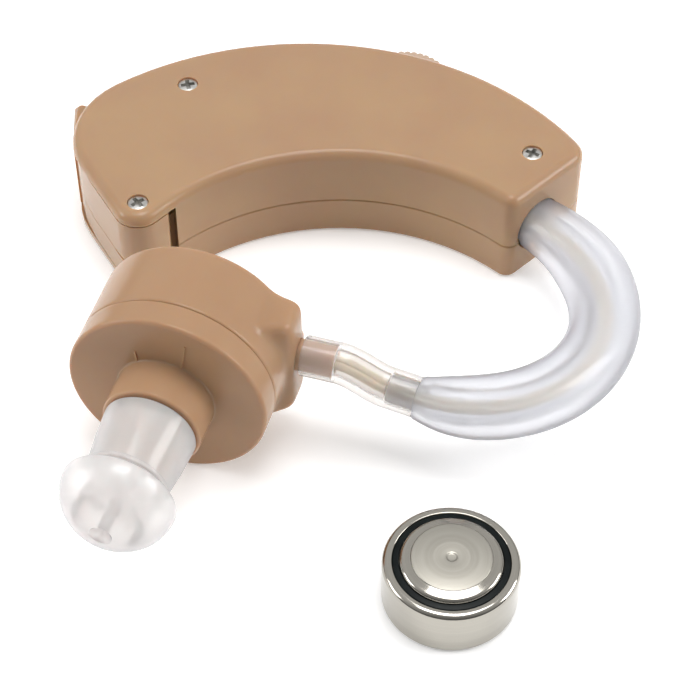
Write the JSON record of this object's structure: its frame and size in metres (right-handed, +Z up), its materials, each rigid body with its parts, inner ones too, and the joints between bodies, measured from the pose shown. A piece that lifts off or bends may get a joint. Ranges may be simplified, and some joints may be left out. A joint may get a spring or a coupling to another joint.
{
  "type": "behind the ear hearing aid",
  "caption": "Behind the ear hearing aid: crescent case with a swing-out battery door and volume wheel, curved ear hook, clear tube, and an external receiver with an ear tip.",
  "frame": {"origin": "on the flat underside of the case, half way across it, where the aid lies on the table", "axes": "+Z up out of the case's roof; +Y from the ear tip's side towards the long outer edge of the case; +X along the case from the battery door to the hook"},
  "size_m": [0.0544, 0.0669, 0.018],
  "materials": {
    "case": "satin moulded plastic, skin beige",
    "wheel": "satin",
    "steel": "bright",
    "board": "solder mask",
    "black_plastic": "matte",
    "aluminium": "satin",
    "black_rubber": "matte",
    "gold": "gold plated",
    "hook": "milky clear plastic",
    "tube": "clear vinyl",
    "lead": "insulation",
    "drum": "satin moulded plastic, pinkish beige",
    "magnet": "ground",
    "copper": "enamelled copper wire",
    "film": "thin film",
    "white": "matte",
    "silicone": "frosted",
    "cell_steel": "nickel plated"
  },
  "bodies": {
    "case": {"top_shell": "case", "bottom_shell": "case", "case_screws": "steel", "circuit_board": "board", "amplifier_chip": "black_plastic", "capacitors": "aluminium", "chip_resistors": "black_plastic", "microphone_capsule": "steel", "microphone_boot": "black_rubber", "volume_control_body": "black_plastic", "positive_contact": "gold", "negative_contact": "gold"},
    "door": {"battery_door": "case"},
    "wheel": {"volume_wheel": "wheel", "volume_shaft": "steel", "wheel_screw": "steel"},
    "hook": {"ear_hook": "hook", "hook_retainer": "steel", "sound_tube": "tube", "receiver_leads": "lead"},
    "receiver": {"rear_cup": "drum", "front_cover": "drum", "tube_spigot": "drum", "driver_frame": "steel", "driver_magnet": "magnet", "driver_pole": "steel", "voice_coil": "copper", "diaphragm": "film", "driver_gasket": "black_rubber", "driver_terminals": "black_plastic", "drum_leads": "lead", "wax_filter": "white"},
    "ear_tip": {"ear_tip": "silicone"},
    "cell": {"cell_can": "cell_steel", "cell_seal": "black_rubber", "cell_cap": "cell_steel"}
  },
  "joints": [
    {"name": "door_swing", "type": "hinge", "parent": "case", "child": "door", "pos_m": [-0.01678, -0.01508, 0.0051], "axis": [0, 0, 1], "range_deg": [0, 100]},
    {"name": "volume_turn", "type": "hinge", "parent": "case", "child": "wheel", "pos_m": [0.00854, 0.00427, 0.0073], "axis": [0, 0, 1], "range_deg": [-135, 135]},
    {"name": "hook_turn", "type": "hinge", "parent": "case", "child": "hook", "pos_m": [0.02072, -0.01254, 0.0051], "axis": [0.7727, -0.6347, 0], "range_deg": [-20, 20]},
    {"name": "receiver_turn", "type": "hinge", "parent": "hook", "child": "receiver", "pos_m": [0.0018, -0.03404, 0.009], "axis": [0.9588, -0.284, 0], "range_deg": [-90, 90]},
    {"name": "tip_pull", "type": "slide", "parent": "receiver", "child": "ear_tip", "axis": [-0.284, -0.9588, 0], "range_m": [0, 0.008]},
    {"name": "cell_lift", "type": "slide", "parent": "case", "child": "cell", "axis": [0, 0, 1], "range_m": [0, 0.02]}
  ]
}
